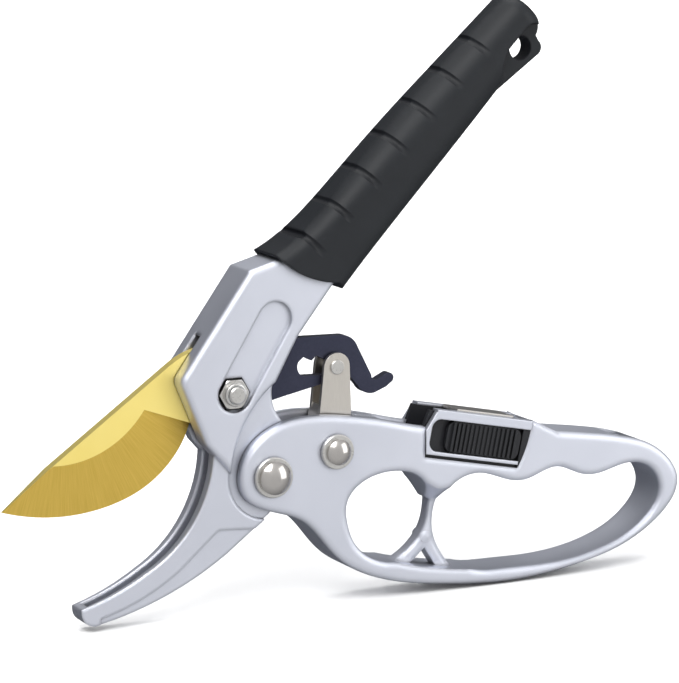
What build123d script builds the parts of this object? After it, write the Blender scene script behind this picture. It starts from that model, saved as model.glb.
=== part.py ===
from build123d import *
import math
import os

# Ratchet pruning shears, in millimetres. Everything is drawn in the pair's own plane: x runs to
# the right and z up, with the blade pivot at (0, 0), and y is the depth, with the front at -y.
# At the end the model is moved so that the hang hole is the origin.

# ---------------------------------------------------------------- driving dimensions
# Pivots of the linkage, open position
HANDLE_PIVOT = (11.3, -24.4)
LINK_PIVOT = (31.2, -19.0)
LINK_PIN = (33.5, 4.2)

# Travel: the squeeze in degrees, the blade's share of it, and the link's turn per degree of squeeze
HANDLE_SWING = 44.0
BLADE_SWING = 28.0
LINK_RATIO = -0.9

# Thicknesses
HEAD_T = 14.6
LUG_T = 8.8
JAW_ROOT_T = 11.0
JAW_TIP_T = 7.0
RING_T = 15.0
BLADE_T = 3.0
STRAP_T = 1.2
LOCK_WALL_T = 1.4
HANG_LUG_T = 6.0
STRUT_T = 4.4
RECESS_T = 12.2

# Running gaps
SLOT_GAP = 0.3          # blade stack to each wall of the head slot
CHANNEL_GAP = 0.6       # blade to each ridge of the jaw channel
CLEVIS_GAP = 0.2        # lug to each ear of the ring handle
RUN_GAP = 0.05          # turning shafts, on the radius
SEAT_GAP = 0.02         # pins and rivets that do not turn, on the radius
SLIDE_GAP = 0.25        # lock pieces
PIN_GAP = 0.3           # link pin in the notched slot
LAP_GAP = 0.4           # rim of each half lap
REST_GAP = 0.1          # washers and heads to the face they lie on

# Shafts
BOLT_R = 2.5
BUSH_WALL = 1.1
HANDLE_RIVET_R = 3.0
LINK_RIVET_R = 2.4
LINK_PIN_R = 1.8
DRIVE_RIVET_R = 1.1

# Heads, nuts and washers
NUT_AF = 8.0
NUT_H = 4.2
NUT_COLLAR_R = 3.3
NUT_COLLAR_H = 1.3
HEX_POCKET_GAP = 0.5
HEX_POCKET_DEPTH = 3.2
OVAL_POCKET_R = 5.2
OVAL_POCKET_DEPTH = 1.2
OVAL_POCKET_TOP = (12.4, 20.0)
HANDLE_HEAD_R = 4.7
HANDLE_HEAD_H = 2.9
HANDLE_WASHER_R = 5.8
HANDLE_WASHER_T = 1.2
LINK_HEAD_R = 3.65
LINK_HEAD_H = 2.2
LINK_WASHER_R = 5.0
LINK_WASHER_T = 1.3
PIN_HEAD_R = 2.1
PIN_HEAD_H = 0.6
LINK_TOP_R = 4.0
LINK_LOW_R = 5.0

# Head and jaw
JAW_CHANNEL_DEPTH = 4.6
JAW_STEP_DEPTH = 0.45
NOSE_POCKET_R = 12.5
LUG_R = 9.8
EDGE_R = 1.6
RING_EDGE_R = 1.3
HOLE_EDGE_R = 1.0
SPRING_POCKET_R = 7.6

# Grip, along its own axis
GRIP_START = (28.9, 36.0)
GRIP_ANGLE = 45.3
GRIP_LENGTH = 93.3
TANG_W = 11.0
TANG_T = 9.0
TANG_END = 74.0
HEAD_TOP = 4.0
GRIP_FIT = 0.05
HANG_HOLE_R = 3.5
HANG_HOLE_AT = (83.7, -6.0)
GROOVE_R = 1.5
GROOVE_FIRST = -0.5
GROOVE_PITCH = 12.4
GROOVE_COUNT = 7

# Blade grind, round the centre of the cutting edge's curve
BLADE_CENTRE = (-50.0, 14.0)
BEVEL_R = 30.3
BEVEL_SLOPE = 0.155

# Ratchet plate
HUB_R = 8.0
NOTCH_PITCH = 4.0
NOTCH_DEPTH = 1.3
NOTCH_COUNT = 3
NOTCH_FLOOR = 6.3
NOTCH_LAST_X = 32.0
SLOT_LEFT_X = 22.0

# Lock, in its own tilted frame: u along the slide towards the ring's far end, v up
LOCK_AT = (63.3, -10.7)
LOCK_TILT = -11.5
LOCK_LENGTH = 31.2
LOCK_HEIGHT = 12.4
LOCK_SHELF = 1.0
LOCK_TRAVEL = 4.5
LOCK_FLANGE_T = 0.7
WINDOW_TOP = 1.9
WINDOW_SILL = 1.0
WINDOW_LEFT = -0.8
COVER_END = 29.4
BUTTON_LENGTH = 24.4
BUTTON_CORNER_R = 2.4
BLOCK_FROM = 14.2
BLOCK_TO = 26.6
BLOCK_TOP = 4.6
BLOCK_LIFT = 2.2        # slide block above the window's sill
RIB_COUNT = 15
RIB_H = 0.8
RIB_DIP = 0.45
RIB_MARGIN = 0.35
LATCH_T = 1.2
LATCH_LOW = -0.05
LATCH_TIP = 8.4

# Springs
RETURN_WIRE_R = 0.5
RETURN_COIL_R = 5.2
LINK_WIRE_R = 0.5
LINK_COIL_R = 3.5
COIL_TURNS = 2

# Worked out from the above
SLOT_T = BLADE_T + 2 * SLOT_GAP
CHANNEL_T = BLADE_T + 2 * CHANNEL_GAP
CLEVIS_T = LUG_T + 2 * CLEVIS_GAP
BUSH_R = BOLT_R + RUN_GAP + BUSH_WALL
LINK_INNER_T = BLADE_T + 1.4
LINK_OUTER_T = LINK_INNER_T + 2 * STRAP_T
LINK_ROOM_T = LINK_OUTER_T + 2 * PIN_HEAD_H + 0.6
LINK_ROOM_R = LINK_TOP_R + 0.8
LEAN_ROOM_T = LINK_OUTER_T + 1.0
WINDOW_BOTTOM = LOCK_HEIGHT - WINDOW_SILL
BLOCK_BOTTOM = WINDOW_BOTTOM - BLOCK_LIFT
BIG = 200.0


# ---------------------------------------------------------------- helpers
def outline(start, *legs):
    """
    A closed face in the x-z plane. A leg is a point for a straight run, a pair (middle, end) for
    an arc, or a list of points for a smooth curve through them.
    """
    edges, at = [], start
    for leg in legs:
        if isinstance(leg, list):
            edges.append(Spline(at, *leg))
            at = leg[-1]
        elif isinstance(leg[0], tuple):
            edges.append(ThreePointArc(at, leg[0], leg[1]))
            at = leg[1]
        else:
            edges.append(Line(at, leg))
            at = leg
    if math.dist(at, start) > 1e-6:
        edges.append(Line(at, start))
    return make_face([Plane.XZ * edge for edge in edges])


def loop(*points):
    """A closed face in the x-z plane bounded by one smooth curve through the points."""
    return make_face([Plane.XZ * Spline(*points, periodic=True)])


def slab(face, y_from, y_to):
    """The face of the x-z plane made solid between two depths."""
    return Pos(0, y_to, 0) * extrude(face, amount=y_to - y_from, dir=(0, -1, 0))


def plate(face, thickness):
    return slab(face, -thickness / 2, thickness / 2)


def disc(at, radius, y_from, y_to):
    """A round bar along y."""
    return slab(Plane.XZ * Pos(*at) * Circle(radius), y_from, y_to)


def hexagon(at, across_flats, y_from, y_to):
    return slab(Plane.XZ * Pos(*at) * RegularPolygon(across_flats / 2, 6, major_radius=False), y_from, y_to)


def both_sides(solid):
    """The solid and its mirror image on the back."""
    return solid + mirror(solid, Plane.XZ)


def polar(centre, radius, degrees):
    turn = math.radians(degrees)
    return (centre[0] + radius * math.cos(turn), centre[1] + radius * math.sin(turn))


def turned(point, degrees, centre=(0, 0)):
    """The point after a turn about the centre, anticlockwise as seen from the front."""
    away = math.atan2(point[1] - centre[1], point[0] - centre[0])
    return polar(centre, math.dist(point, centre), math.degrees(away) + degrees)


def on_grip(s, n):
    """A place given along the grip's axis and to its left."""
    turn = math.radians(GRIP_ANGLE)
    x = GRIP_START[0] + s * math.cos(turn) - n * math.sin(turn)
    return (x, GRIP_START[1] + s * math.sin(turn) + n * math.cos(turn))


def on_lock(u, v):
    """A place given in the lock's tilted frame."""
    turn = math.radians(LOCK_TILT)
    x = LOCK_AT[0] + u * math.cos(turn) - v * math.sin(turn)
    return (x, LOCK_AT[1] + u * math.sin(turn) + v * math.cos(turn))


def lock_block(u_from, u_to, v_from, v_to, y_from, y_to, corner=0.0):
    """A block square to the lock's frame, with its corners rounded in the x-z plane."""
    corners = [on_lock(u_from, v_from), on_lock(u_to, v_from), on_lock(u_to, v_to), on_lock(u_from, v_to)]
    face = outline(*corners)
    if corner:
        face = fillet(face.vertices(), corner)
    return slab(face, y_from, y_to)


def domed_head(at, radius, height, y_face):
    """A rivet head whose flat side lies at y_face and whose dome points to the front."""
    rim = height * 0.35
    rise = height - rim
    ball_r = (radius ** 2 + rise ** 2) / (2 * rise)
    ball = Pos(at[0], y_face - height + ball_r, at[1]) * Sphere(ball_r)
    return ball & disc(at, radius, y_face - height, y_face)


def washer(at, outer, inner, y_from, y_to):
    ring = disc(at, outer, y_from, y_to)
    rim = ring.edges().filter_by(GeomType.CIRCLE)
    return chamfer(rim, 0.25) - disc(at, inner, y_from - 1, y_to + 1)


def soften(solid, half_thickness, radius, length=None):
    """Rounds the edges that lie in the front and back faces, or only those of one length."""
    rim = [e for e in solid.edges() if abs(abs(e.center().Y) - half_thickness) < 1e-3]
    if length:
        rim = [e for e in rim if abs(e.length - length) < 0.1]
    return fillet(rim, radius)


# ---------------------------------------------------------------- cast body: head, jaw and tang
def head_shape():
    """The thick part of the head, ending at the arc that the ring handle's ears sweep."""
    face = outline(
        (-0.8, -22.6), (-8.6, -13.9), (-16.4, 4.6), (5.0, 34.1), on_grip(-8.4, 10.0), on_grip(HEAD_TOP, 8.0),
        on_grip(HEAD_TOP, -6.6), on_grip(-3.0, -6.6), (19.8, 14.5), (13.0, 2.2), ((4.2, -7.4), (-0.8, -22.6)),
    )
    left = face.vertices().sort_by(Axis.X)[0]
    return fillet(left, 3.0)


def jaw_face():
    return outline(
        (-5.7, -14.0), ((-11.2, -34.8), (-25.8, -48.7)), ((-35.2, -53.6), (-45.0, -57.0)),
        ((-44.4, -60.2), (-41.0, -62.0)), ((-20.0, -55.8), (-1.1, -45.3)), (5.6, -40.1), (11.8, -35.3),
        (14.0, -28.0), (6.0, -14.0),
    )


def jaw(sunk=0.0):
    """The jaw as cast, or with both of its faces sunk by a little."""
    blank = plate(jaw_face(), JAW_ROOT_T)
    # A wedge along the jaw thins it towards the tip.
    root, tip = (0.0, -24.0), (-45.0, -60.0)
    run = math.dist(root, tip)
    lean = math.degrees(math.atan2(tip[1] - root[1], tip[0] - root[0]))
    half_root, half_tip = JAW_ROOT_T / 2 - sunk, JAW_TIP_T / 2 - sunk
    profile = Polyline(
        (-60, half_root), (0, half_root), (run, half_tip), (run + 10, half_tip),
        (run + 10, -half_tip), (run, -half_tip), (0, -half_root), (-60, -half_root), close=True,
    )
    wedge = extrude(make_face(profile), amount=BIG / 2, both=True)
    return blank & Pos(root[0], 0, root[1]) * Rot(0, -lean, 0) * wedge


def jaw_channel():
    """The groove along the jaw's inner edge that the blade closes into. The tip stays solid."""
    away = (0.66 * JAW_CHANNEL_DEPTH, -0.75 * JAW_CHANNEL_DEPTH)
    band = plate(jaw_face(), CHANNEL_T) - Pos(away[0], 0, away[1]) * plate(jaw_face(), CHANNEL_T + 1)
    keep = plate(outline((-43.0, -50.0), (-43.0, -66.0), (8.0, -30.0), (2.0, -10.0), (-20.0, -10.0)), CHANNEL_T)
    return band & keep


def head_slot():
    """The slit that the blade and the ratchet plate turn in."""
    return plate(outline(
        (-45.0, 0.3), (-9.1, 15.7), (36.0, 35.1), (60.0, 35.1), (60.0, -5.6), (12.5, -5.6), (3.0, -9.6),
        (-2.0, -16.0), (-3.4, -24.0), (-45.0, -24.0),
    ), SLOT_T)


def head_pockets():
    """The long oval recess on each face, with the hexagon for the nut or the bolt head in it."""
    middle = (OVAL_POCKET_TOP[0] / 2, OVAL_POCKET_TOP[1] / 2)
    length = math.dist(OVAL_POCKET_TOP, (0, 0)) + 2 * OVAL_POCKET_R
    lean = math.degrees(math.atan2(OVAL_POCKET_TOP[1], OVAL_POCKET_TOP[0]))
    oval = Plane.XZ * Pos(*middle) * Rot(0, 0, lean) * SlotOverall(length, 2 * OVAL_POCKET_R)
    face_y = -HEAD_T / 2
    recess = slab(oval, face_y - 1, face_y + OVAL_POCKET_DEPTH)
    nut_seat = hexagon((0, 0), NUT_AF + 2 * HEX_POCKET_GAP, face_y - 1, face_y + HEX_POCKET_DEPTH)
    return both_sides(recess + nut_seat)


def link_pocket():
    """Room in the edge of the head for the top of the link when the pair is shut."""
    at = turned(pin_path(1), BLADE_SWING)
    left = at[0] - LINK_ROOM_R
    mouth = outline((left, at[1]), (left, 6.0), (40.0, 6.0), (40.0, 24.0), (at[0], at[1] + LINK_ROOM_R))
    return plate(Plane.XZ * Pos(*at) * Circle(LINK_ROOM_R) + mouth, LINK_ROOM_T)


def spring_pocket():
    """The slot in the lug for the return spring, open on the side where the spring's leg swings."""
    mouth = outline(HANDLE_PIVOT, polar(HANDLE_PIVOT, 30, -48), polar(HANDLE_PIVOT, 30, 42))
    return plate(Plane.XZ * Pos(*HANDLE_PIVOT) * Circle(SPRING_POCKET_R) + mouth, SLOT_T)


def main_body():
    head = soften(plate(head_shape(), HEAD_T), HEAD_T / 2, EDGE_R)
    core = plate(outline(
        (-2.0, -20.0), (-4.0, 0.0), (13.0, 2.2), ((12.7, -3.4), (15.6, -9.2)), polar(HANDLE_PIVOT, LUG_R, 38),
        polar(HANDLE_PIVOT, LUG_R, 200),
    ), LUG_T) + disc(HANDLE_PIVOT, LUG_R, -LUG_T / 2, LUG_T / 2)
    nose_room = disc(HANDLE_PIVOT, NOSE_POCKET_R, LUG_T / 2, HEAD_T)
    ear_sweep = slab(outline(
        (-0.8, -22.6), ((4.2, -7.4), (13.0, 2.2)), (30.0, 2.2), (30.0, -22.6),
    ), LUG_T / 2, HEAD_T)
    step = plate(outline(
        (9.0, -39.2), (-4.1, -38.4), (-5.6, -39.6), (-15.4, -48.4), ((-24.7, -54.4), (-39.5, -60.0)),
        (-40.0, -70.0), (20.0, -60.0),
    ), BIG)
    whole_jaw = jaw() - step + (jaw(JAW_STEP_DEPTH) & step)
    open_jaw = whole_jaw - both_sides(nose_room) - both_sides(ear_sweep)
    tang = plate(outline(
        on_grip(-4, -TANG_W / 2), on_grip(TANG_END, -TANG_W / 2), on_grip(TANG_END, TANG_W / 2),
        on_grip(-4, TANG_W / 2),
    ), TANG_T)
    body = head + core + open_jaw + tang
    body = body - jaw_channel() - head_slot() - head_pockets() - spring_pocket() - link_pocket()
    body = body - disc((0, 0), BOLT_R + SEAT_GAP, -BIG, BIG)
    return body - disc(HANDLE_PIVOT, HANDLE_RIVET_R + SEAT_GAP, -BIG, BIG)


# ---------------------------------------------------------------- rubber grip
def grip_sleeve():
    axis = Plane(origin=(GRIP_START[0], 0, GRIP_START[1]), x_dir=(0, 1, 0),
                 z_dir=(math.cos(math.radians(GRIP_ANGLE)), 0, math.sin(math.radians(GRIP_ANGLE))))
    # Each station: distance along the axis, offset to the left, half width, half depth, corner radius
    stations = [(-12, 1.6, 12.0, 9.5, 3.6), (0, 0.4, 10.2, 9.4, 4.6), (30, 0.3, 10.0, 9.5, 7.4),
                (60, 0.1, 9.4, 9.2, 8.2), (80, 0.0, 8.4, 8.7, 7.8), (GRIP_LENGTH, 0.2, 7.2, 8.2, 6.8)]
    left = -1 if axis.y_dir.Z < 0 else 1
    rings = [axis.offset(s) * Pos(0, left * n) * RectangleRounded(2 * depth, 2 * width, corner)
             for s, n, width, depth, corner in stations]
    sleeve = loft(rings)
    end = sleeve.faces().sort_by(Axis((0, 0, 0), (axis.z_dir.X, 0, axis.z_dir.Z)))[-1]
    sleeve = fillet(end.edges(), 4.5)
    # The hem that laps over the head
    hem = outline((12.0, 38.7), ((19.8, 32.4), (31.6, 29.2)), (45.0, 15.0), (0.0, 15.0), (-5.0, 38.7))
    sleeve -= plate(hem, BIG)
    # Round the hang hole the end is cut back to a flat lug.
    scoop = outline(
        on_grip(68, -14), on_grip(71, -8.6), (on_grip(74.5, -3.4), on_grip(79, -0.9)), on_grip(87, -0.9),
        (on_grip(89.6, -1.6), on_grip(91.2, -4.0)), on_grip(96, -8), on_grip(96, -16),
    )
    sleeve -= both_sides(slab(scoop, HANG_LUG_T / 2, BIG / 4))
    lug = outline(
        on_grip(66, -5.0), on_grip(69.5, -8.8), on_grip(86.0, -11.6), (on_grip(88.2, -11.2), on_grip(89.2, -9.0)),
        on_grip(90.8, -3.4), on_grip(90.0, 2.0), on_grip(70, 2.0),
    )
    sleeve += plate(lug, HANG_LUG_T)
    for k in range(GROOVE_COUNT):
        s = GROOVE_FIRST + k * GROOVE_PITCH
        width = 10.4 if s < 45 else 10.4 - (s - 45) * 0.055
        sleeve -= disc(on_grip(s, width + GROOVE_R - 0.6), GROOVE_R, -BIG / 4, BIG / 4)
    room = GRIP_FIT
    head_room = plate(outline(
        (5.0 - room, 34.1 + room), on_grip(-8.4, 10.0 + 2 * room), on_grip(HEAD_TOP + room, 8.0 + room),
        on_grip(HEAD_TOP + room, -6.6 - room), on_grip(-14, -6.6 - room),
    ), HEAD_T + 2 * room)
    tang_room = plate(outline(
        on_grip(-4, -TANG_W / 2 - room), on_grip(TANG_END + room, -TANG_W / 2 - room),
        on_grip(TANG_END + room, TANG_W / 2 + room), on_grip(-4, TANG_W / 2 + room),
    ), TANG_T + 2 * room)
    hole = disc(on_grip(*HANG_HOLE_AT), HANG_HOLE_R, -BIG, BIG)
    return sleeve - head_room - tang_room - hole


# ---------------------------------------------------------------- blade group
def blade():
    edge = Spline((-66.4, -28.1), (-52.7, -30.9), (-37.8, -30.2), (-22.8, -24.7), (-13.6, -15.7), (-10.3, -8.6))
    back = [Line((-10.3, -8.6), (-3.0, -7.4)), ThreePointArc((-3.0, -7.4), (8.0, 0.0), (-3.0, 7.4)),
            Line((-3.0, 7.4), (-9.0, 12.4)), ThreePointArc((-9.0, 12.4), (-13.0, 11.0), (-17.0, 8.7)),
            Line((-17.0, 8.7), (-53.6, -17.2)), Line((-53.6, -17.2), (-66.4, -28.1))]
    face = make_face([Plane.XZ * e for e in [edge] + back])
    steel = plate(face, BLADE_T)
    steel -= bevel_grind()
    steel -= disc((0, 0), HUB_R + LAP_GAP, 0, BLADE_T)
    return hub_holes(steel)


def bevel_grind():
    """What the grinding takes off the front face: a shallow cone round the centre of the blade's curve."""
    reach = 30.0
    profile = make_face(Polyline(
        (BEVEL_R, -BLADE_T / 2), (BEVEL_R + reach, -BLADE_T / 2 + BEVEL_SLOPE * reach),
        (BEVEL_R + reach, -BLADE_T), (BEVEL_R, -BLADE_T), close=True,
    ))
    cone = revolve(profile, Axis.Y)
    below = plate(outline(
        (-80.0, -60.0), (-80.0, 3.0), (-30.0, -1.2), (-20.5, -4.6), (-11.0, -8.0), (4.0, -13.0), (4.0, -60.0),
    ), BIG)
    return Pos(BLADE_CENTRE[0], 0, BLADE_CENTRE[1]) * cone & below


def hub_holes(solid):
    solid -= disc((0, 0), BUSH_R + SEAT_GAP, -BIG, BIG)
    for at in drive_points():
        solid -= disc(at, DRIVE_RIVET_R + SEAT_GAP, -BIG, BIG)
    return solid


def drive_points():
    reach = (BUSH_R + HUB_R) / 2
    return [polar((0, 0), reach, 80), polar((0, 0), reach, 260)]


def pin_path(step):
    """Where the link pin lies in the ratchet plate after a share of the squeeze."""
    at = turned(LINK_PIN, HANDLE_SWING * step, HANDLE_PIVOT)
    pivot = turned(LINK_PIVOT, HANDLE_SWING * step, HANDLE_PIVOT)
    at = turned(at, LINK_RATIO * HANDLE_SWING * step, pivot)
    return turned(at, -BLADE_SWING * step)


def ratchet_plate():
    face = outline(
        (-2.0, 7.7), (22.8, 13.2), (35.8, 12.8), ((38.9, 11.8), (40.9, 9.3)), (45.4, 0.5), ((46.2, -0.9), (47.4, -0.8)),
        (50.6, 0.7), ((52.3, -0.1), (51.9, -1.9)), (50.1, -3.2), (46.4, -4.6), ((43.4, -4.3), (41.1, -2.1)),
        (39.0, 0.3), ((38.3, 0.8), (37.4, 0.9)), (17.3, -3.2), (10.0, -4.8), ((2.0, -7.7), (-8.0, 0.0)), ((-6.4, 4.8), (-2.0, 7.7)),
    )
    reach = LINK_PIN_R + PIN_GAP
    floor = [pin_path(step)[1] - reach for step in (0, 0.5, 1)]
    right = LINK_PIN[0] + reach
    ceiling = NOTCH_FLOOR
    notches = []
    for k in range(NOTCH_COUNT):
        peak = NOTCH_LAST_X - (NOTCH_COUNT - 1 - k) * NOTCH_PITCH
        notches += [(peak - 0.4 * NOTCH_PITCH, ceiling), (peak, ceiling + NOTCH_DEPTH)]
    notches.append((peak + 0.6, ceiling + NOTCH_DEPTH))
    slot = outline(
        (SLOT_LEFT_X + 1.8, floor[2]), (pin_path(0.5)[0], floor[1]), (right - 1.2, floor[0]),
        ((right - 0.25, floor[0] + 0.6), (right, floor[0] + 1.8)), (right, ceiling - 0.6), *reversed(notches),
        ((SLOT_LEFT_X, 4.6), (SLOT_LEFT_X + 1.8, floor[2])),
    )
    steel = plate(face, BLADE_T) - plate(slot, BLADE_T + 1)
    steel -= disc((0, 0), HUB_R + LAP_GAP, -BLADE_T, 0)
    return hub_holes(steel)


def drive_rivets():
    return Compound([disc(at, DRIVE_RIVET_R, -BLADE_T / 2, BLADE_T / 2) for at in drive_points()])


def pivot_bush():
    half = SLOT_T / 2 - RUN_GAP
    return disc((0, 0), BUSH_R, -half, half) - disc((0, 0), BOLT_R + RUN_GAP, -half - 1, half + 1)


# ---------------------------------------------------------------- pivot bolt group
def pivot_bolt():
    seat = -HEAD_T / 2 + HEX_POCKET_DEPTH
    shank = disc((0, 0), BOLT_R, seat - NUT_H - 1.1, -seat)
    shank = chamfer(shank.edges().sort_by(Axis.Y)[0], 0.4)
    head = hexagon((0, 0), NUT_AF, -seat, -seat + NUT_H)
    return shank + (head & Pos(0, -seat - 2.2, 0) * Sphere(8.0))


def lock_nut():
    seat = -HEAD_T / 2 + HEX_POCKET_DEPTH
    hex_h = NUT_H - NUT_COLLAR_H
    nut = hexagon((0, 0), NUT_AF, seat - hex_h, seat) & Pos(0, seat + 2.2, 0) * Sphere(6.6)
    collar = disc((0, 0), NUT_COLLAR_R, seat - NUT_H, seat - hex_h + 0.5)
    collar = fillet(collar.edges().sort_by(Axis.Y)[0], 0.5)
    nut = nut + collar - disc((0, 0), BOLT_R + SEAT_GAP, -BIG, BIG)
    return nut - disc((0, 0), NUT_COLLAR_R - 0.6, seat - NUT_H, seat - NUT_H + NUT_COLLAR_H) - disc(
        (0, 0), NUT_COLLAR_R - 1.0, seat - NUT_H - 1, seat)


def nut_insert():
    seat = -HEAD_T / 2 + HEX_POCKET_DEPTH
    ring = disc((0, 0), NUT_COLLAR_R - 0.6 - SEAT_GAP, seat - NUT_H + 0.2, seat - NUT_H + NUT_COLLAR_H - 0.1)
    return ring - disc((0, 0), BOLT_R + SEAT_GAP, -BIG, BIG)


# ---------------------------------------------------------------- handle pivot group
def riveted(at, shank_r, head_r, head_h, washer_t):
    """A shank through the ring handle with a domed head and room for a washer at each end."""
    face_y = -RING_T / 2 - REST_GAP - washer_t
    shank = disc(at, shank_r, face_y, -face_y)
    return shank + both_sides(domed_head(at, head_r, head_h, face_y))


def rivet_washers(at, outer, bore, thickness):
    face_y = -RING_T / 2 - REST_GAP
    front = washer(at, outer, bore + SEAT_GAP, face_y - thickness, face_y)
    return Compound([front, mirror(front, Plane.XZ)])


def coil_spring(at, wire_r, coil_r, reach):
    """A torsion spring round an axle along y: turns of wire with a straight leg at each end."""
    pitch = 2 * wire_r * 1.02
    height = pitch * COIL_TURNS
    coil = Helix(pitch, height, coil_r)
    first, last = (coil % 0) * reach[0], (coil % 1) * reach[1]
    path = Wire([Line((coil @ 0) - first, coil @ 0), coil, Line(coil @ 1, (coil @ 1) + last)])
    spring = sweep(Plane(origin=path @ 0, z_dir=path % 0) * Circle(wire_r), path=path)
    spring = Pos(0, 0, -height / 2) * spring
    return Pos(at[0], 0, at[1]) * Rot(90, 0, 0) * spring


# ---------------------------------------------------------------- ring handle
def ring_outer():
    return loop(
        (59.6, -14.8), (78.0, -17.4), (96.4, -19.4), (114.0, -21.8), (127.2, -24.2),
        (137.6, -28.4), (144.9, -38.2), (133.3, -53.0), (113.2, -60.2), (90.5, -63.2), (65.4, -61.6),
        (44.6, -57.3), (31.4, -49.6), (20.8, -38.2), (10.4, -34.3), (2.8, -29.2), (2.7, -19.4), (14.0, -9.9),
        (24.0, -8.5), (36.0, -9.6), (48.0, -12.0),
    )


def finger_hole():
    return loop(
        (34.8, -38.8), (36.6, -31.6), (42.3, -27.9), (50.4, -26.8), (58.2, -29.2), (62.2, -35.8), (61.2, -46.0),
        (55.4, -52.4), (47.4, -53.0), (38.4, -47.8),
    )


def three_finger_hole():
    """The long opening, with a scallop for each of three fingers along its upper side."""
    return loop(
        (65.8, -39.0), (69.4, -32.4), (77.6, -30.1), (87.2, -33.0), (92.6, -33.6), (103.4, -30.8), (112.2, -33.9),
        (117.4, -34.2), (126.2, -32.2), (135.4, -34.2), (138.6, -40.4), (133.2, -49.6), (120.6, -56.2),
        (104.0, -59.2), (86.0, -59.2), (73.0, -57.0), (66.0, -48.0),
    )


def strut_room():
    """
    What is cut away in front of the strut, which is far thinner than the ring. The neck above it
    slopes back from the ring's face to the strut's, so the cut is wider at the ring's face.
    """
    at_strut = outline(
        (57.6, -37.2), [(61.4, -36.0), (64.6, -37.4), (67.4, -37.0), (71.0, -38.6)], (84.0, -58.4),
        [(73.0, -58.0), (64.0, -56.7), (55.5, -54.9), (47.6, -52.4)],
    )
    at_face = outline(
        (54.6, -30.6), [(60.2, -30.6), (64.4, -33.0), (68.8, -32.6), (73.4, -34.0)], (84.0, -58.4),
        [(73.0, -58.0), (64.0, -56.7), (55.5, -54.9), (47.6, -52.4)],
    )
    front = loft([Pos(0, -STRUT_T / 2, 0) * at_strut, Pos(0, -RING_T / 2 - 0.01, 0) * at_face], ruled=True)
    return both_sides(front) + plate(at_strut, STRUT_T + 0.2)


def strut():
    """The thin fork between the two openings: a stem, a round boss, and two feet with a gap between them."""
    fork = outline(
        (62.6, -30.0), (63.9, -35.6), [(63.7, -39.5), (62.3, -45.2), (58.6, -50.2), (51.6, -54.6)],
        (53.2, -57.0), (72.4, -59.6), [(67.2, -52.7), (65.0, -47.6), (64.7, -42.2), (66.2, -36.8)], (68.6, -33.6),
        (68.0, -30.0),
    )
    gap = outline((62.3, -51.3), (56.2, -56.6), (66.2, -57.6))
    foot = plate(fork, STRUT_T) - plate(gap, STRUT_T + 1)
    at, radius, rise = (62.5, -48.0), 1.7, 0.45
    boss = disc(at, radius, -STRUT_T / 2 - rise, STRUT_T / 2 + rise)
    return foot + boss


def clevis_slot():
    """The slot between the ears, with the link's channel behind it and the pocket for the plate's toe."""
    around = Plane.XZ * Pos(*HANDLE_PIVOT) * Circle(LUG_R + 1.6)
    left = outline((-20.0, 20.0), (-20.0, -60.0), (11.3, -60.0), (11.3, 20.0))
    link_room = outline((11.3, 10.0), (11.3, -24.4), (23.0, -25.6), ((31.2, -26.4), (38.9, -22.4)), (38.9, 10.0))
    toe_room = outline((46.8, 10.0), (46.8, -15.8), ((48.0, -17.6), (50.0, -18.6)), (58.5, -20.2), (62.0, -20.2), (62.0, 10.0))
    lean_room = outline((35.0, 10.0), (35.0, -24.0), (36.2, -23.8), (51.2, -8.6), (51.2, 10.0))
    rib = outline((38.9, 12.0), (38.9, -24.0), (60.0, -24.0), (60.0, 12.0))
    room = plate(around + left, CLEVIS_T) + plate(link_room, CLEVIS_T) + plate(toe_room, CLEVIS_T)
    return room + (plate(lean_room, LEAN_ROOM_T) - plate(rib, LINK_INNER_T - 2 * SLOT_GAP))


def lock_notch(grow=0.0):
    """The opening in the top of the ring handle that the lock drops into."""
    top, low = 6.0, -LOCK_HEIGHT - LOCK_SHELF - grow
    return outline(
        on_lock(-1.2 - grow, low), on_lock(-2.6 - grow, -5.6), on_lock(-0.4 - grow, top), on_lock(LOCK_LENGTH + grow, top),
        (on_lock(LOCK_LENGTH + grow + 0.4, -6.0), on_lock(LOCK_LENGTH - 1.4 + grow, low)),
    )


def lower_handle():
    ring = soften(plate(ring_outer(), RING_T), RING_T / 2, RING_EDGE_R)
    for face in (finger_hole(), three_finger_hole()):
        ring = soften(ring - plate(face, RING_T), RING_T / 2, HOLE_EDGE_R, face.edges()[0].length)
    ring += plate(outline((60.0, -15.0), (62.0, -13.0), (94.4, -15.9), (103.6, -20.6), (95.0, -24.0)), RING_T)
    ring = ring - strut_room() + strut()
    ring -= clevis_slot() + plate(lock_notch(), RING_T + 2)
    tail_recess = outline((121.4, -10.0), (123.8, -25.4), (131.4, -26.2), (131.4, -10.0))
    end_recess = outline((91.8, -10.0), (95.2, -20.2), (98.4, -10.0))
    ring -= plate(tail_recess, RECESS_T) + plate(end_recess, RECESS_T)
    ring -= disc(HANDLE_PIVOT, HANDLE_RIVET_R + RUN_GAP, -BIG, BIG)
    return ring - disc(LINK_PIVOT, LINK_RIVET_R + SEAT_GAP, -BIG, BIG)


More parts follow.
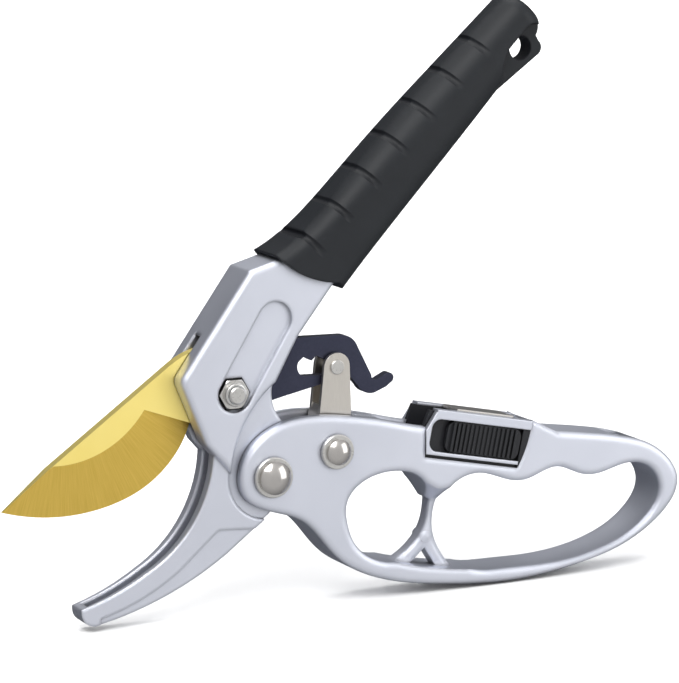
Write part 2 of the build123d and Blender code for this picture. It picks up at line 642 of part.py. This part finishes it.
# ---------------------------------------------------------------- link
def ratchet_link():
    """A U-shaped strap: two arms joined by a web down the side that faces the head."""
    top, low = LINK_PIN, LINK_PIVOT
    arm = outline(
        (top[0] - LINK_TOP_R, top[1] + 0.4), ((top[0], top[1] + LINK_TOP_R), (top[0] + LINK_TOP_R, top[1])),
        (38.0, -9.0), (low[0] + LINK_LOW_R, low[1]),
        ((low[0], low[1] - LINK_LOW_R), (low[0] - LINK_LOW_R, low[1])), (28.2, -8.0),
    )
    arms = plate(arm, LINK_OUTER_T) - plate(arm, LINK_INNER_T)
    web = outline((26.8, -14.0), (28.2, -8.0), (28.6, -6.4), (29.8, -6.4), (29.4, -8.0), (28.0, -14.0))
    strap = arms + plate(web, LINK_OUTER_T) - disc(LINK_PIN, LINK_PIN_R + SEAT_GAP, -BIG, BIG)
    return strap - disc(LINK_PIVOT, LINK_RIVET_R + RUN_GAP, -BIG, BIG)


def link_pin():
    half = LINK_OUTER_T / 2
    head = disc(LINK_PIN, PIN_HEAD_R, -half - PIN_HEAD_H, -half)
    head = chamfer(head.edges().sort_by(Axis.Y)[0], 0.2)
    return disc(LINK_PIN, LINK_PIN_R, -half, half) + both_sides(head)


# ---------------------------------------------------------------- lock
def lock_housing():
    """The black insert in the ring handle: side walls, a floor and a closed far end."""
    wall_y = RING_T / 2 - LOCK_WALL_T - SLIDE_GAP
    block = plate(lock_notch(-SEAT_GAP), 2 * wall_y)
    block -= lock_block(-10, COVER_END + 20, 0, 20, -BIG, BIG)
    end_cap = plate(lock_notch(-SEAT_GAP), RING_T - 0.3) & lock_block(
        COVER_END + 0.2, LOCK_LENGTH + 2, -30, -WINDOW_TOP - 0.1, -BIG, BIG)
    shelf = plate(lock_notch(-SEAT_GAP), RING_T - 1.6) & lock_block(-4, COVER_END + 2, -30, -LOCK_HEIGHT - 0.1, -BIG, BIG)
    inner = CLEVIS_T / 2 - 0.1
    cavity = lock_block(-6, COVER_END - 0.4, -LOCK_HEIGHT + 0.9, 10, -inner, inner)
    around = 0.4
    side_slot = lock_block(
        BLOCK_FROM - LOCK_TRAVEL - around, BLOCK_TO + around, -BLOCK_BOTTOM - around, -BLOCK_TOP + around, -BIG, BIG)
    body = block + end_cap + shelf - cavity
    return body - (side_slot & lock_block(-6, COVER_END, -30, 0, -BIG, BIG))


def lock_cover():
    """The metal saddle: a wall on each face with the button's window in it, and a flange along the top."""
    inner = RING_T / 2 - LOCK_WALL_T
    outer = RING_T / 2 + 0.35
    side = outline(
        on_lock(-1.1, -LOCK_HEIGHT), on_lock(-2.5, -5.6), on_lock(0.0, -0.0), on_lock(COVER_END, -0.0), on_lock(COVER_END, -LOCK_HEIGHT),
    )
    window = lock_block(WINDOW_LEFT, COVER_END + 5, -WINDOW_BOTTOM, -WINDOW_TOP, -BIG, BIG, 2.8)
    wall = slab(side, inner, outer) - window
    band = plate(lock_notch(-SEAT_GAP), BIG) & lock_block(COVER_END - 1, LOCK_LENGTH + 2, -WINDOW_TOP, 0, inner, outer)
    flange_low = CLEVIS_T / 2 + 0.1
    flange = plate(lock_notch(-SEAT_GAP), BIG) & lock_block(0.2, LOCK_LENGTH + 2, 0, LOCK_FLANGE_T, flange_low, outer)
    both = both_sides(wall + band + flange)
    bridge = lock_block(COVER_END - 1.6, COVER_END, LOCK_FLANGE_T - 0.3, LOCK_FLANGE_T, -outer, outer)
    return both + bridge


def lock_button():
    """The slide: a ribbed pad on each side joined by a block through the housing."""
    outer = RING_T / 2 - 0.1
    inner = RING_T / 2 - LOCK_WALL_T
    left = COVER_END - 0.3 - BUTTON_LENGTH
    pad = lock_block(left, COVER_END - 0.3, -WINDOW_BOTTOM + SLIDE_GAP, -WINDOW_TOP - SLIDE_GAP, inner, outer,
                     BUTTON_CORNER_R)
    pitch = (BUTTON_LENGTH - 2.4) / RIB_COUNT
    ribs = None
    for k in range(RIB_COUNT):
        at = left + 1.4 + k * pitch
        dip = RIB_DIP * math.sin(math.pi * (k + 0.5) / RIB_COUNT)
        low, top = -WINDOW_BOTTOM + SLIDE_GAP + RIB_MARGIN, -WINDOW_TOP - SLIDE_GAP - RIB_MARGIN
        rib = lock_block(at, at + 0.55 * pitch, low, top, outer - 0.2, outer + RIB_H - dip)
        ribs = rib if ribs is None else ribs + rib
    middle = lock_block(BLOCK_FROM, BLOCK_TO, -BLOCK_BOTTOM, -BLOCK_TOP, -inner, inner)
    rib_side = both_sides(pad + ribs)
    half = CLEVIS_T / 2 - 0.5
    carrier = lock_block(BLOCK_FROM, BLOCK_TO, -BLOCK_BOTTOM, LATCH_LOW - 0.05, -half, half)
    return rib_side + middle + carrier


def lock_latch():
    """The steel bar on top of the slide whose tip hooks over the toe of the ratchet plate."""
    half = CLEVIS_T / 2 - 0.3
    return lock_block(LATCH_TIP, COVER_END - 2.2, LATCH_LOW, LATCH_LOW + LATCH_T, -half, half, 0.3)


def lock_spring():
    """A bowed leaf under the slide that holds it at either end of its travel."""
    half_w, leaf_t = 2.5, 0.4
    floor, crown = -WINDOW_BOTTOM, -BLOCK_BOTTOM - 0.3
    leaf = outline(
        on_lock(11.0, floor), (on_lock(19.5, crown), on_lock(27.6, floor)), on_lock(27.0, floor),
        (on_lock(19.5, crown - leaf_t), on_lock(11.6, floor)),
    )
    return slab(leaf, -half_w, half_w)


# ---------------------------------------------------------------- the assembly
def parts():
    return {
        "main_body": main_body(),
        "grip_sleeve": grip_sleeve(),
        "blade": blade(),
        "ratchet_plate": ratchet_plate(),
        "drive_rivets": drive_rivets(),
        "pivot_bush": pivot_bush(),
        "pivot_bolt": pivot_bolt(),
        "lock_nut": lock_nut(),
        "nut_insert": nut_insert(),
        "handle_rivet": riveted(HANDLE_PIVOT, HANDLE_RIVET_R, HANDLE_HEAD_R, HANDLE_HEAD_H, HANDLE_WASHER_T),
        "handle_rivet_washers": rivet_washers(HANDLE_PIVOT, HANDLE_WASHER_R, HANDLE_RIVET_R, HANDLE_WASHER_T),
        "return_spring": coil_spring(HANDLE_PIVOT, RETURN_WIRE_R, RETURN_COIL_R, (2.0, 2.2)),
        "lower_handle": lower_handle(),
        "link_rivet": riveted(LINK_PIVOT, LINK_RIVET_R, LINK_HEAD_R, LINK_HEAD_H, LINK_WASHER_T),
        "link_rivet_washers": rivet_washers(LINK_PIVOT, LINK_WASHER_R, LINK_RIVET_R, LINK_WASHER_T),
        "ratchet_link": ratchet_link(),
        "link_pin": link_pin(),
        "link_spring": coil_spring(LINK_PIVOT, LINK_WIRE_R, LINK_COIL_R, (2.0, 2.2)),
        "lock_housing": lock_housing(),
        "lock_cover": lock_cover(),
        "lock_button": lock_button(),
        "lock_latch": lock_latch(),
        "lock_spring": lock_spring(),
    }


os.makedirs("parts", exist_ok=True)
hang = on_grip(*HANG_HOLE_AT)
for name, shape in parts().items():
    placed = Pos(-hang[0], 0, -hang[1]) * shape
    export_step(placed, os.path.join("parts", name + ".step"))
    print(name, len(placed.solids()), round(placed.volume, 1))
print("hang hole at", [round(v, 3) for v in hang])
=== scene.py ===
# %% [markdown]
# # Ratchet pruning shears
# A pair of hand shears for the garden: a gold-coated blade passes a hooked jaw, a black rubber
# sleeve covers the upper handle, and a ring handle with finger scallops drives the blade through
# a small steel link and a notched plate. We begin with the measured solid model, which carries
# every real size and joint, and give each piece its surface. The pieces could be modelled again
# as meshes here, but the solid ones already have the true shape, so we only dress them.

# %% Load the solid model
import bpy
import bmesh
import math
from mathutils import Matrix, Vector


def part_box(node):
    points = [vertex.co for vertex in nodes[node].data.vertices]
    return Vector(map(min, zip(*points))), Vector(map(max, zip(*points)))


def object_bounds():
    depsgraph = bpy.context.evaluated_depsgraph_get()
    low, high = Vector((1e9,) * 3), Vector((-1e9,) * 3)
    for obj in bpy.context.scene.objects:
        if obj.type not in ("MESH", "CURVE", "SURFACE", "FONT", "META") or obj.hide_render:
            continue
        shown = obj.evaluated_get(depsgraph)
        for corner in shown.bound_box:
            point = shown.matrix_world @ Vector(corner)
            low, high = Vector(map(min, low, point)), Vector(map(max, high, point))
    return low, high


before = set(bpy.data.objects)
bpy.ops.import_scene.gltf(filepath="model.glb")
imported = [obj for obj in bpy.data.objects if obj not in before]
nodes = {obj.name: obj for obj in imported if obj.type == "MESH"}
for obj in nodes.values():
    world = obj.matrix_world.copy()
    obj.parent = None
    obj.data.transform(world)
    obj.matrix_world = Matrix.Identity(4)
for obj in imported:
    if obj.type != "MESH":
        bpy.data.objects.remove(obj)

first_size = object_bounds()
print(len(nodes), "pieces of the solid model are loaded")

# %% [markdown]
# The solid model hangs from its hang hole, so that hole is the origin. For placing grooves, grind
# marks and the camera it is easier to think from the blade's pivot, so one short function turns
# millimetres measured from that pivot into the scene's metres. The pivot is the middle of its nut.

# %% Measure from the blade pivot
low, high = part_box("lock_nut")
PIVOT = Vector(((low.x + high.x) / 2, 0, (low.z + high.z) / 2))


def mm(x, y, z):
    """A place in millimetres from the blade pivot, as scene metres."""
    return PIVOT + Vector((x, y, z)) / 1000


print("the blade turns about", [round(v * 1000, 2) for v in PIVOT], "mm")

# %% [markdown]
# Surfaces are written as sums. The nodes could be wired one by one, but a long list of links hides
# what a finish does. A small class wraps a shader socket instead, so that plus, minus and times
# make Math nodes, and a finish reads like the sentence that describes it. Plain numbers are still
# worked out by Python.

# %% Sockets that can be added and multiplied


class Value:
    """A shader socket that takes part in Python sums."""

    def __init__(self, tree, socket):
        self.tree, self.socket = tree, socket

    def math(self, operation, *numbers):
        """A Math node on these numbers, each of them plain or a socket."""
        made = self.tree.nodes.new("ShaderNodeMath")
        made.operation = operation
        for place, number in zip(made.inputs, numbers):
            if isinstance(number, Value):
                self.tree.links.new(number.socket, place)
            else:
                place.default_value = number
        return Value(self.tree, made.outputs[0])

    def __add__(self, other):
        return self.math("ADD", self, other)

    def __radd__(self, other):
        return self.math("ADD", other, self)

    def __sub__(self, other):
        return self.math("SUBTRACT", self, other)

    def __rsub__(self, other):
        return self.math("SUBTRACT", other, self)

    def __mul__(self, other):
        return self.math("MULTIPLY", self, other)

    def __rmul__(self, other):
        return self.math("MULTIPLY", other, self)

    def __truediv__(self, other):
        return self.math("DIVIDE", self, other)

    def __rtruediv__(self, other):
        return self.math("DIVIDE", other, self)

    def __pow__(self, other):
        return self.math("POWER", self, other)

    def __rpow__(self, other):
        return self.math("POWER", other, self)

    def above(self, edge):
        """1 where the value is over the edge, and 0 elsewhere."""
        return self.math("GREATER_THAN", self, edge)

    def clipped(self):
        """The value kept between 0 and 1."""
        return self.math("MINIMUM", self.math("MAXIMUM", self, 0.0), 1.0)

    def size(self):
        """The value without its sign."""
        return self.math("ABSOLUTE", self)

    def to_nearest_whole(self):
        """How far the value is from the nearest whole number."""
        whole = self.math("FLOOR", self + 0.5)
        return (self - whole).size()

    def turn_from(self, across):
        """The angle, in radians, of a point that lies this far up and that far across."""
        return self.math("ARCTAN2", self, across)


print("sums of sockets are ready")

# %% [markdown]
# Everything that isn't a sum comes from one method, which takes a node's kind, its settings and
# what feeds its sockets. The mixtures that are used again and again get short names of their own:
# two colours blended, soft noise, rounded corners, and the shade that gathers in crevices.

# %% Recipes and finishes


class Recipe:
    """A tree of shader nodes."""

    def __init__(self, tree):
        self.tree = tree

    def feed(self, socket, value):
        """Links a value to a socket, or sets a plain number, colour or vector on it."""
        if isinstance(value, Value):
            self.tree.links.new(value.socket, socket)
        elif socket.type == "RGBA":
            socket.default_value = (*value[:3], 1.0)
        else:
            socket.default_value = value

    def node(self, kind, out=0, settings=None, sockets=None):
        """Any node: its settings first, then what its sockets get, by name or by number."""
        made = self.tree.nodes.new("ShaderNode" + kind)
        for key, value in (settings or {}).items():
            setattr(made, key, value)
        for key, value in (sockets or {}).items():
            self.feed(made.inputs[key], value)
        return Value(self.tree, made.outputs[out])

    def blend(self, amount, first, second):
        """A colour between two, by amount."""
        factor, colour_a, colour_b, result = 0, 6, 7, 2
        sockets = {factor: amount, colour_a: first, colour_b: second}
        return self.node("Mix", out=result, settings={"data_type": "RGBA"}, sockets=sockets)


class Finish(Recipe):
    """One material: a Principled surface and short ways to feed it."""

    def __init__(self, name):
        self.material = bpy.data.materials.new(name)
        self.material.use_nodes = True
        super().__init__(self.material.node_tree)
        self.surface = self.tree.nodes["Principled BSDF"]
        self.place = self.node("TexCoord", out="Object")

    def noise(self, per_metre, detail=3.0, rough=0.55, stretch=(1, 1, 1)):
        """Soft random variation between 0 and 1, stretched along the axes."""
        spot = self.node("Mapping", sockets={"Vector": self.place, "Scale": stretch})
        sockets = {"Vector": spot, "Scale": per_metre, "Detail": detail, "Roughness": rough}
        return self.node("TexNoise", sockets=sockets)

    def cells(self, per_metre):
        """Rounded cells, packed like a fine leather grain."""
        return self.node("TexVoronoi", sockets={"Vector": self.place, "Scale": per_metre})

    def corner(self, radius):
        """1 on sharp outer corners and 0 on flats, for worn edges."""
        flat = self.node("NewGeometry", out="Normal")
        sockets = {0: self.soft_corner(radius), 1: flat}
        same = self.node("VectorMath", out="Value", settings={"operation": "DOT_PRODUCT"}, sockets=sockets)
        return ((1.0 - same) * 6.0).clipped()

    def soft_corner(self, radius):
        """A normal that rounds the corners by this radius."""
        return self.node("Bevel", settings={"samples": 4}, sockets={"Radius": radius})

    def occlusion_shade(self, reach):
        """1 deep inside slots and corners and 0 in the open, for painted shade."""
        seen = self.node("AmbientOcclusion", out="AO", settings={"samples": 6}, sockets={"Distance": reach})
        return ((1.0 - seen) * 1.35 - 0.35).clipped()

    def along(self, start, direction):
        """How far the point lies from start, in metres, along a direction."""
        away = self.node("VectorMath", settings={"operation": "SUBTRACT"}, sockets={0: self.place, 1: start})
        sockets = {0: away, 1: direction}
        return self.node("VectorMath", out="Value", settings={"operation": "DOT_PRODUCT"}, sockets=sockets)

    def bump(self, height, distance, strength, under):
        """Relief of this depth in metres, laid over the normal under it."""
        sockets = {"Height": height, "Distance": distance, "Strength": strength, "Normal": under}
        return self.node("Bump", sockets=sockets)

    def set(self, **inputs):
        """Feeds the surface. A socket's name is written with _ for each space."""
        for key, value in inputs.items():
            self.feed(self.surface.inputs[key.replace("_", " ")], value)
        return self

    def wear(self, *pieces):
        """Puts the finish on pieces, given by name for those of the solid model."""
        for piece in pieces:
            mesh = nodes[piece].data if isinstance(piece, str) else piece.data
            mesh.materials.clear()
            mesh.materials.append(self.material)
        return self


print("the finish language is ready")

# %% [markdown]
# The body and the ring handle are die-cast aluminium, tumbled and clear-coated to a pale satin.
# Up close such a skin has a fine pebble from the mould, a slow drift in tone, and brighter corners
# where hands and other tools have rubbed it. A plain grey metal would look like a toy's, so noise
# at two scales moves its tone and its roughness. Tumbling also rounds every corner. Rounding the
# mesh would change its shape, so a softened normal rounds how the corners catch the light: most on
# the ring, which a hand holds, and least on the small pressed saddle of the lock.

# %% Satin cast aluminium
PALE_GREY, COOL_WHITE = (0.58, 0.60, 0.67), (0.66, 0.68, 0.75)
# The second of these is the near black painted into deep slots and corners as shade.
RUBBED_WHITE, PAINTED_SLOT_SHADE = (0.82, 0.83, 0.87), (0.012, 0.012, 0.014)


def cast_metal(name, rounding):
    """Cast aluminium whose corners look rounded by this many metres."""
    made = Finish(name)
    pebble = made.noise(2600, detail=4, rough=0.6)
    drift = made.noise(45, detail=2)
    worn = made.corner(0.0005)
    tone_before_shade = made.blend(worn * 0.35, made.blend(drift, PALE_GREY, COOL_WHITE), RUBBED_WHITE)
    return made.set(
        # Base colour goes to near black deep in slots and corners: painted shade.
        Base_Color=made.blend(made.occlusion_shade(0.005) * 0.95, tone_before_shade, PAINTED_SLOT_SHADE),
        Metallic=0.92,
        Roughness=0.34 + drift * 0.08 + pebble * 0.06 - worn * 0.08,
        Normal=made.bump(pebble, 0.00005, 0.45, made.soft_corner(rounding)),
    )


cast_metal("satin cast aluminium", 0.0013).wear("main_body")
cast_metal("satin cast aluminium, full rounding", 0.0024).wear("lower_handle")
cast_metal("satin cast aluminium, crisp", 0.0005).wear("lock_cover")
print("aluminium covers the body, the ring handle and the lock saddle")

# %% [markdown]
# The upper handle is dipped in a black rubber sleeve with seven grooves across its left side, where
# the fingers wrap. Rubber scatters light softly, so it is nearly black with a broad, weak sheen,
# and it carries a very fine grain and a little dust. The deep ends of the grooves are cut in the
# solid model. Their shallow run over the round of the sleeve fades out, which is easier to write
# as relief: how far a point is from the nearest groove gives the depth.

# %% Where the grooves of the grip lie
GRIP_START, GRIP_LEAN = mm(28.9, 0, 36.0), math.radians(45.3)
UP_GRIP = (math.cos(GRIP_LEAN), 0, math.sin(GRIP_LEAN))
LEFT_OF_GRIP = (-math.sin(GRIP_LEAN), 0, math.cos(GRIP_LEAN))
FIRST_GROOVE, GROOVE_STEP, GROOVE_WIDTH = -0.0005, 0.0124, 0.0011
LAST_GROOVE_END, END_FADE = 0.080, 0.005
FADE_START, FADE_LENGTH = 0.0025, 0.004
rubber = Finish("black grip rubber")
up = rubber.along(GRIP_START, UP_GRIP)
left = rubber.along(GRIP_START, LEFT_OF_GRIP)
away = ((up - FIRST_GROOVE) / GROOVE_STEP).to_nearest_whole() * (GROOVE_STEP / GROOVE_WIDTH)
on_left = ((left - FADE_START) / FADE_LENGTH).clipped()
before_end = ((LAST_GROOVE_END - up) * (1 / END_FADE)).clipped()
groove = (1.0 - away * away).clipped() * on_left * before_end
print("the grooves are", GROOVE_STEP * 1000, "mm apart")

# %% Black rubber
grain = rubber.cells(2400) * 0.6 + rubber.noise(5200, detail=2) * 0.4
dust = rubber.noise(70, detail=4, rough=0.65)
skin = rubber.bump(grain, 0.00003, 0.5, rubber.soft_corner(0.0008))
rubber.set(
    # The colour drifts with the dust noise and is darker in the grooves; the darkening in the grooves is
    # painted shade.
    Base_Color=rubber.blend(dust - groove * 0.5, (0.004, 0.005, 0.007), (0.010, 0.012, 0.015)),
    Roughness=0.46 + dust * 0.12,
    Specular_IOR_Level=0.28,
    Normal=rubber.bump(1.0 - groove, 0.0007, 0.9, skin),
).wear("grip_sleeve")
print("rubber covers the grip")

# %% [markdown]
# The blade is ground steel under a thin gold coat. On the flats the coat is even and satin. On the
# bevel the grinding lines still show through it, so that band is streaked; its darker gold is partly
# painted shade. The wheel that ground it swept round the centre of the blade's curve, so the streaks
# are spokes: noise is read along the angle round that centre and hardly at all along the radius. The
# bevel leans towards the front, and the lean of the surface itself tells the finish where the band is.

# %% Gold-coated blade
GRIND_CENTRE = mm(-50.0, 0, 14.0)
FLAT_LEAN, STEEPEST_LEAN = 0.997, 0.9
gold = Finish("gold titanium coat")
across = gold.along(GRIND_CENTRE, (1, 0, 0))
upward = gold.along(GRIND_CENTRE, (0, 0, 1))
radius = (across * across + upward * upward) ** 0.5
spoke = gold.node("CombineXYZ", sockets={"X": upward.turn_from(across) * 0.045, "Y": radius * 0.03})
streak = gold.node("TexNoise", sockets={"Vector": spoke, "Scale": 2600.0, "Detail": 3.0, "Roughness": 0.7})
slow = gold.noise(60, detail=2)
true_normal = gold.node("NewGeometry", out="True Normal")
lean = gold.node("SeparateXYZ", out=1, sockets={"Vector": true_normal}).size()
band = ((FLAT_LEAN - lean) * 220.0).clipped() * (lean - STEEPEST_LEAN).above(0.0)
flat_tone = gold.blend(slow, (0.90, 0.72, 0.20), (0.96, 0.80, 0.28))
# The bevel's darker gold is partly painted shade; its streaks are grinding marks.
bevel_tone_and_shade = gold.blend(streak, (0.50, 0.33, 0.05), (0.78, 0.56, 0.13))
gold.set(
    Base_Color=gold.blend(band, flat_tone, bevel_tone_and_shade),
    Metallic=0.9,
    Roughness=0.36 + streak * 0.10 + band * 0.04,
    Normal=gold.node("Bump", sockets={"Height": streak * band, "Distance": 0.00003, "Strength": 0.35}),
).wear("blade")
print("the blade is gold, with a ground band along its edge")

# %% [markdown]
# The small steel pieces differ only in their plating and in how they were finished. The notched
# plate has a black-blue oxide over stamped steel. The link is plated in nickel and brushed along
# its length, the nut and washers are turned, and the rivets are domed and polished, with only a
# breath of haze. One function makes them all, because each is two tones, brush marks at one scale
# and corners rubbed a little brighter.

# %% One recipe for the plated and bare metals


def metal(name, dark, light, rough, brush=(1, 1, 1), per_metre=1200, wear=0.4, depth=0.00001, metallic=1.0):
    """A bare or plated metal with brush marks, tone drift and worn corners."""
    made = Finish(name)
    marks = made.noise(per_metre, detail=3, rough=0.65, stretch=brush)
    drift = made.noise(140, detail=2)
    rubbed = made.corner(0.00025)
    tone = made.blend(marks * 0.6 + drift * 0.4, dark, light)
    bright = tuple(min(1.0, c * 1.25 + 0.08) for c in light)
    return made.set(
        Base_Color=made.blend(rubbed * wear, tone, bright),
        Metallic=metallic,
        Roughness=(rough - 0.05) + marks * 0.12,
        Normal=made.bump(marks, depth, 0.4, made.soft_corner(0.00015)),
    )


print("the metal recipe is ready")

# %% Small steel parts
thin_coat = {"wear": 0.25, "metallic": 0.75}
oxide = metal("black-blue oxide steel", (0.022, 0.024, 0.042), (0.045, 0.048, 0.078), 0.36, **thin_coat)
oxide.wear("ratchet_plate")
nickel = metal("brushed nickel", (0.50, 0.47, 0.43), (0.68, 0.65, 0.60), 0.30, brush=(6, 6, 0.4))
nickel.wear("ratchet_link", "lock_latch")
steel = metal("turned steel", (0.48, 0.47, 0.45), (0.66, 0.65, 0.63), 0.28)
steel.wear("lock_nut", "pivot_bolt", "handle_rivet_washers", "link_rivet_washers", "link_pin", "drive_rivets")
polished = {"per_metre": 700, "wear": 0.2, "depth": 0.000004}
dome = metal("polished rivet", (0.44, 0.42, 0.40), (0.54, 0.52, 0.50), 0.18, **polished)
dome.wear("handle_rivet", "link_rivet")
wire = metal("spring wire", (0.22, 0.21, 0.21), (0.38, 0.37, 0.36), 0.35)
wire.wear("return_spring", "link_spring", "lock_spring")
bronze = metal("sintered bronze", (0.45, 0.30, 0.15), (0.62, 0.44, 0.24), 0.42)
bronze.wear("pivot_bush")
print("six metal finishes are on the small parts")

# %% [markdown]
# The lock's slide and its housing are moulded in black plastic, a touch shinier than the rubber.
# A flat black would swallow the slide's ribs, so the gaps between them get painted shade, darker the
# more hidden they are. The nut's locking ring is a pale nylon, which lets a little light into itself.

# %% Black plastic and nylon
plastic = Finish("black moulded plastic")
spark = plastic.noise(3800, detail=3)
plastic.set(
    # The colour is darker in hidden gaps: painted shade.
    Base_Color=plastic.blend(plastic.occlusion_shade(0.0015), (0.012, 0.0125, 0.015), (0.001, 0.001, 0.0012)),
    Roughness=0.36 + spark * 0.12,
    Specular_IOR_Level=0.3,
    Normal=plastic.bump(spark, 0.00002, 0.5, plastic.soft_corner(0.0002)),
).wear("lock_housing", "lock_button")
nylon = Finish("pale nylon")
nylon.set(
    Base_Color=nylon.blend(nylon.noise(400), (0.62, 0.65, 0.68), (0.72, 0.75, 0.78)),
    Roughness=0.42 + nylon.noise(900) * 0.1,
    Subsurface_Weight=0.1,
).wear("nut_insert")
print("plastic and nylon are on")

# %% [markdown]
# Curved solids come in as small flats, so we ask Blender to smooth across shallow corners and to
# keep sharp ones crisp. The blade's bevel meets its flat at a very shallow corner that has to stay
# crisp, so the blade gets a smaller limit than the rest.

# %% Smooth the curved faces
SMOOTH_BELOW, BLADE_SMOOTH_BELOW = 32, 5
for name, piece in nodes.items():
    for face in piece.data.polygons:
        face.use_smooth = True
    limit = BLADE_SMOOTH_BELOW if name == "blade" else SMOOTH_BELOW
    piece.data.set_sharp_from_angle(angle=math.radians(limit))
print("smoothed", len(nodes), "pieces")

# %% [markdown]
# The setting is a seamless pale sheet, as in a photographer's studio: a floor that bends up into a
# wall, so that no line shows behind the shears. A plane and a wall would meet in an edge. The wall
# stands more than two metres away, so that the shears can also be looked at from behind. Metal
# would mirror the sheet as a flat white, so the sheet is left out of reflections.

# %% Backdrop
SHEET_FRONT, BEND_START, BEND_R, SHEET_TOP, SHEET_HALF_WIDTH = -4.0, 1.9, 0.5, 2.4, 4.0
FLOOR_GAP = 0.0005
floor_z = first_size[0][2] - FLOOR_GAP
profile = [(SHEET_FRONT, floor_z), (BEND_START, floor_z)]
for turn in (0.3, 0.6, 0.9, 1.2, math.pi / 2):
    profile.append((BEND_START + BEND_R * math.sin(turn), floor_z + BEND_R * (1 - math.cos(turn))))
profile.append((BEND_START + BEND_R, floor_z + SHEET_TOP))
sheet = bmesh.new()
columns = []
for y, z in profile:
    columns.append([sheet.verts.new((x, y, z)) for x in (-SHEET_HALF_WIDTH, SHEET_HALF_WIDTH)])
for a, b in zip(columns, columns[1:]):
    sheet.faces.new((a[0], a[1], b[1], b[0]))
backdrop_mesh = bpy.data.meshes.new("backdrop")
sheet.to_mesh(backdrop_mesh)
sheet.free()
for face in backdrop_mesh.polygons:
    face.use_smooth = True
backdrop = bpy.data.objects.new("backdrop", backdrop_mesh)
backdrop.visible_glossy = False
bpy.context.scene.collection.objects.link(backdrop)
paper = Finish("white paper")
paper.set(Base_Color=(0.90, 0.90, 0.90), Roughness=0.85 + paper.noise(30) * 0.05)
paper.wear(backdrop)
print("the backdrop's floor is at", round(floor_z, 4), "m")

# %% [markdown]
# Metal shows what it mirrors, so its lamps are large and soft: one above and to the left in front,
# a weaker one to the right, and one over the top. A fourth lights only the sheet, because it faces
# away from the shears. Small bright lamps would leave hard spots on the rivets.

# %% Lamps
LEFT_ABOVE, RIGHT_FRONT = Vector((-0.5, -0.8, 1.1)), Vector((1.1, -0.9, 0.3))
OVERHEAD, OVER_SHEET = Vector((0.1, 0.3, 1.2)), Vector((0, 1.0, 1.2))
middle = mm(25, 0, 15)
sheet_middle = middle + Vector((0, 2.4, 0.5))


def lamp(name, at, target, size, power):
    """A flat lamp of this size in metres and power in watts, aimed at a target."""
    light = bpy.data.lights.new(name, "AREA")
    light.shape = "RECTANGLE"
    light.size, light.size_y = size
    light.energy = power
    piece = bpy.data.objects.new(name, light)
    piece.location = at
    piece.rotation_euler = (Vector(target) - Vector(at)).to_track_quat("-Z", "Y").to_euler()
    bpy.context.scene.collection.objects.link(piece)


lamp("key lamp", middle + LEFT_ABOVE, middle, (0.9, 0.9), 16)
lamp("fill lamp", middle + RIGHT_FRONT, middle, (0.8, 1.2), 7)
lamp("top lamp", middle + OVERHEAD, middle, (1.2, 0.8), 9)
lamp("backdrop lamp", middle + OVER_SHEET, sheet_middle, (3.5, 0.5), 60)
print("four lamps are set")

# %% [markdown]
# The rest of the studio is what the metal mirrors. An evenly white room makes satin metal look
# like paper, and a dark one makes it look black. So the room is bright in front and above and
# falls to a dark grey behind, which draws a soft shade along every side wall.

# %% The room
DARK_WALL, BRIGHT_WALL = (0.05, 0.055, 0.07), (1.0, 1.0, 1.0)
world = bpy.data.worlds.new("studio")
world.use_nodes = True
room = Recipe(world.node_tree)
background = room.tree.nodes["Background"]
where = room.node("TexCoord", out="Generated")
in_front = room.node("SeparateXYZ", out="Y", sockets={"Vector": where}) * -0.5 + 0.5
height = room.node("SeparateXYZ", out="Z", sockets={"Vector": where}) * 0.5 + 0.5
glow = (in_front * 1.6 - 0.35).clipped() * 0.75 + height ** 3 * 0.35
room.feed(background.inputs["Color"], room.blend(glow, DARK_WALL, BRIGHT_WALL))
background.inputs["Strength"].default_value = 1.0
bpy.context.scene.world = world
bpy.context.scene.view_settings.view_transform = "Standard"
print("the room is bright in front and dark behind")

# %% [markdown]
# The camera stands to the left of the shears and a little above them. A short lens close by would
# swell the nearer handle, so the camera is a metre away with a long lens, and the pair keeps its
# true proportions.

# %% Camera
AZIMUTH, LIFT, AWAY = math.radians(-27.0), math.radians(10.5), 1.0
SENSOR_MM, LENS_MM = 36.0, 192.5
aim = mm(25.79, -20.05, 14.87)
back = Vector((math.sin(AZIMUTH) * math.cos(LIFT), -math.cos(AZIMUTH) * math.cos(LIFT), math.sin(LIFT)))
lens = bpy.data.cameras.new("camera")
lens.sensor_fit = "HORIZONTAL"
lens.sensor_width = SENSOR_MM
lens.lens = LENS_MM
lens.clip_start = 0.01
camera = bpy.data.objects.new("camera", lens)
camera.location = aim + back * AWAY
camera.rotation_euler = back.to_track_quat("Z", "Y").to_euler()
bpy.context.scene.collection.objects.link(camera)
bpy.context.scene.camera = camera
print("the camera is at", [round(v, 3) for v in camera.location])
